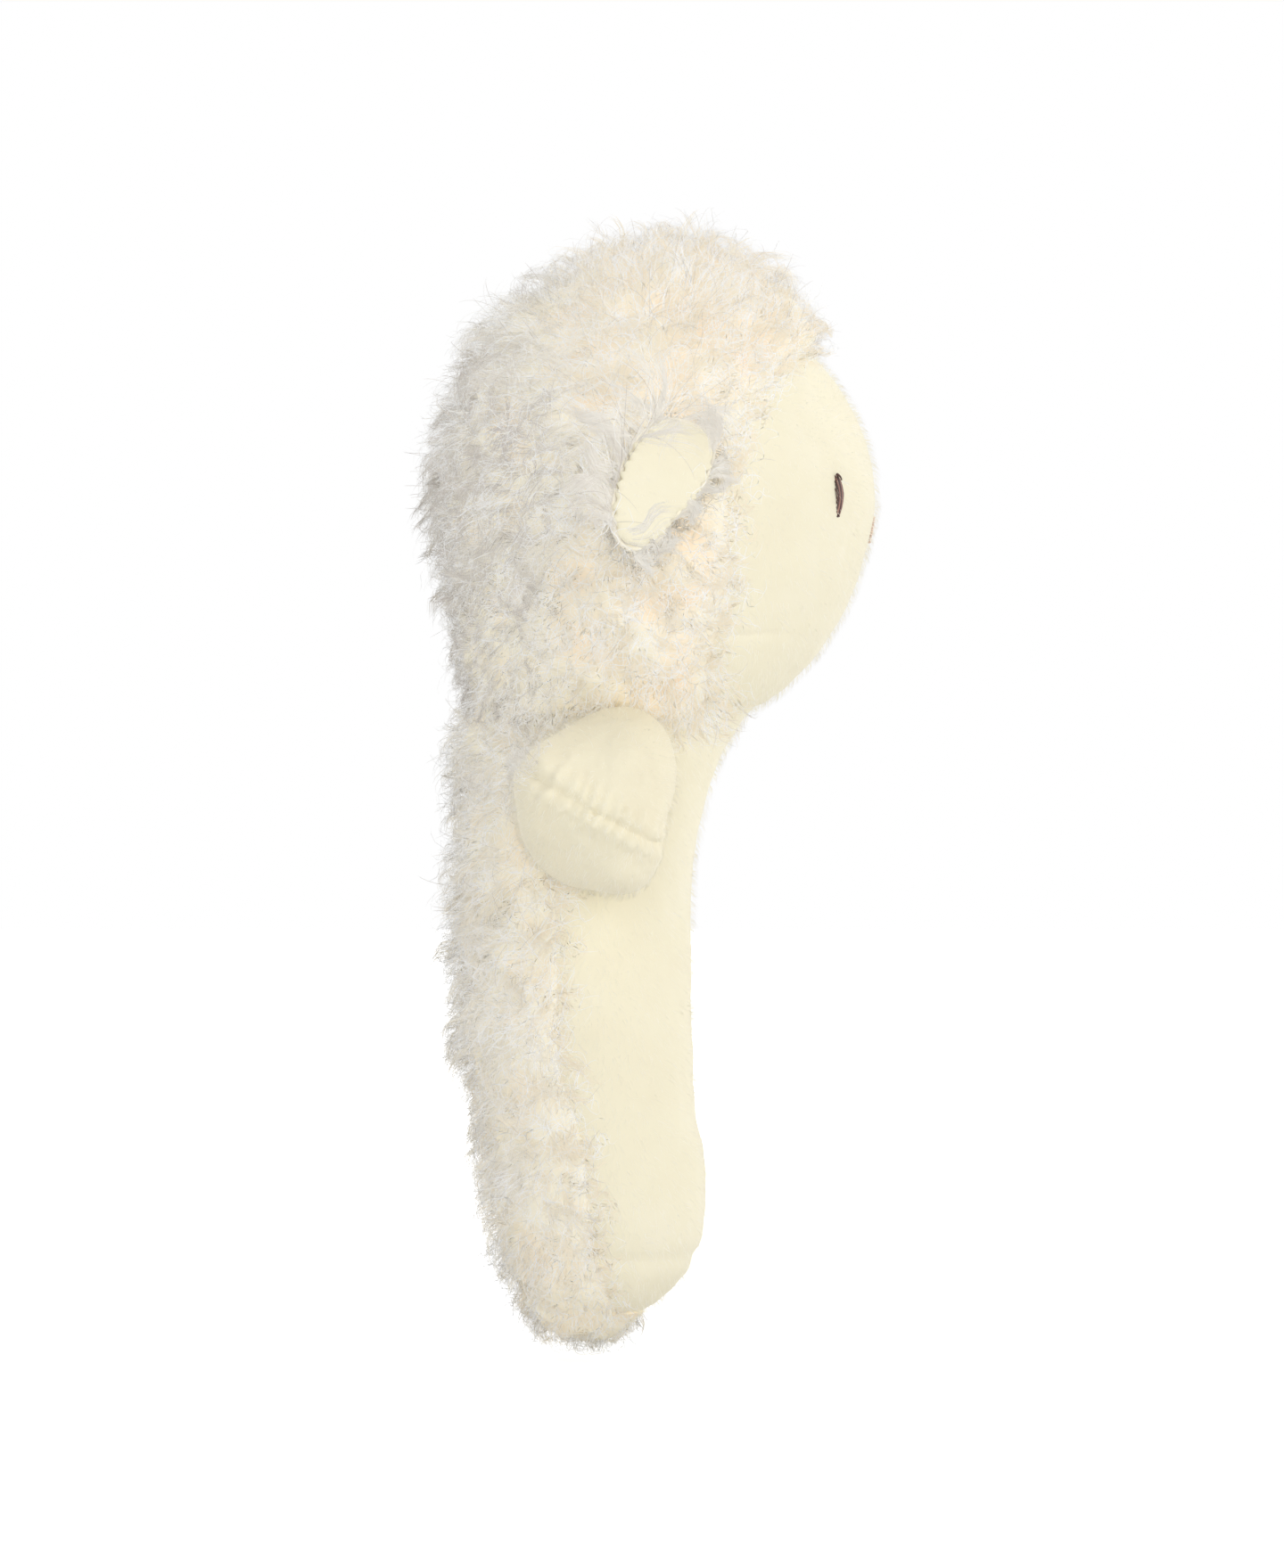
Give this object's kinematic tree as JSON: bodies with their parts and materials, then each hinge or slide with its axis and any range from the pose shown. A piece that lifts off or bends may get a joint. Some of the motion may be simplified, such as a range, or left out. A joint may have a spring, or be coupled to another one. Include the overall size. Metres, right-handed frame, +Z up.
{
  "type": "plush lamb stick rattle",
  "caption": "Soft lamb on a hand-held stick: round head with drooping ears, stub arms, smooth cream front, curly white wool behind, rattle capsule inside the head.",
  "frame": {"origin": "middle of the small flat under the stick's end", "axes": "+Z up along the stick, +X the way the face looks, +Y the lamb's left"},
  "size_m": [0.0677, 0.0892, 0.1708],
  "materials": {
    "cream_velour": "short-pile velour",
    "white_wool": "curly long-pile plush",
    "polyester_fibre": "loose fibre fill",
    "brown_thread": "satin stitch embroidery",
    "tan_thread": "satin stitch embroidery",
    "capsule_plastic": "gloss",
    "bead_plastic": "gloss"
  },
  "bodies": {
    "stick": {"stick_front_panel": "cream_velour", "stick_back_panel": "white_wool", "stick_base_panel": "white_wool", "stick_stuffing": "polyester_fibre"},
    "head": {"head_face_panel": "cream_velour", "head_wool_panel": "white_wool", "head_front_stuffing": "polyester_fibre", "head_back_stuffing": "polyester_fibre", "rattle_capsule_upper": "capsule_plastic", "rattle_capsule_lower": "capsule_plastic", "right_eye": "brown_thread", "left_eye": "brown_thread", "nose": "tan_thread"},
    "right_arm": {"right_arm_upper_panel": "cream_velour", "right_arm_lower_panel": "cream_velour", "right_arm_stuffing": "polyester_fibre"},
    "left_arm": {"left_arm_upper_panel": "cream_velour", "left_arm_lower_panel": "cream_velour", "left_arm_stuffing": "polyester_fibre"},
    "right_ear": {"right_ear_inner_panel": "cream_velour", "right_ear_outer_panel": "white_wool"},
    "left_ear": {"left_ear_inner_panel": "cream_velour", "left_ear_outer_panel": "white_wool"},
    "bead_1": {"rattle_bead_1": "bead_plastic"},
    "bead_2": {"rattle_bead_2": "bead_plastic"},
    "bead_3": {"rattle_bead_3": "bead_plastic"},
    "bead_4": {"rattle_bead_4": "bead_plastic"},
    "bead_5": {"rattle_bead_5": "bead_plastic"},
    "bead_6": {"rattle_bead_6": "bead_plastic"}
  },
  "joints": [
    {"name": "head_nod", "type": "hinge", "parent": "stick", "child": "head", "pos_m": [0, 0, 0.096], "axis": [0, 1, 0], "range_deg": [-10, 10], "stiffness_Nm_per_rad": 0.35},
    {"name": "right_arm_swing", "type": "hinge", "parent": "stick", "child": "right_arm", "pos_m": [0.0008, -0.0161, 0.088], "axis": [0, 0, 1], "range_deg": [-20, 20], "stiffness_Nm_per_rad": 0.015},
    {"name": "left_arm_swing", "type": "hinge", "parent": "stick", "child": "left_arm", "pos_m": [0.0008, 0.0161, 0.088], "axis": [0, 0, -1], "range_deg": [-20, 20], "stiffness_Nm_per_rad": 0.015},
    {"name": "right_ear_flap", "type": "hinge", "parent": "head", "child": "right_ear", "pos_m": [0.01329, -0.03334, 0.14474], "axis": [-0.862, -0.2477, 0.4423], "range_deg": [-8, 20], "stiffness_Nm_per_rad": 0.003},
    {"name": "left_ear_flap", "type": "hinge", "parent": "head", "child": "left_ear", "pos_m": [0.01329, 0.03334, 0.14474], "axis": [0.862, -0.2477, -0.4423], "range_deg": [-8, 20], "stiffness_Nm_per_rad": 0.003},
    {"name": "bead_1_travel", "type": "slide", "parent": "head", "child": "bead_1", "axis": [0, 0, 1], "range_m": [0, 0.0203]},
    {"name": "bead_2_travel", "type": "slide", "parent": "head", "child": "bead_2", "axis": [0, 0, 1], "range_m": [0, 0.017]},
    {"name": "bead_3_travel", "type": "slide", "parent": "head", "child": "bead_3", "axis": [0, 0, 1], "range_m": [0, 0.017]},
    {"name": "bead_4_travel", "type": "slide", "parent": "head", "child": "bead_4", "axis": [0, 0, 1], "range_m": [0, 0.017]},
    {"name": "bead_5_travel", "type": "slide", "parent": "head", "child": "bead_5", "axis": [0, 0, 1], "range_m": [0, 0.017]},
    {"name": "bead_6_travel", "type": "slide", "parent": "head", "child": "bead_6", "axis": [0, 0, 1], "range_m": [0, 0.017]}
  ]
}
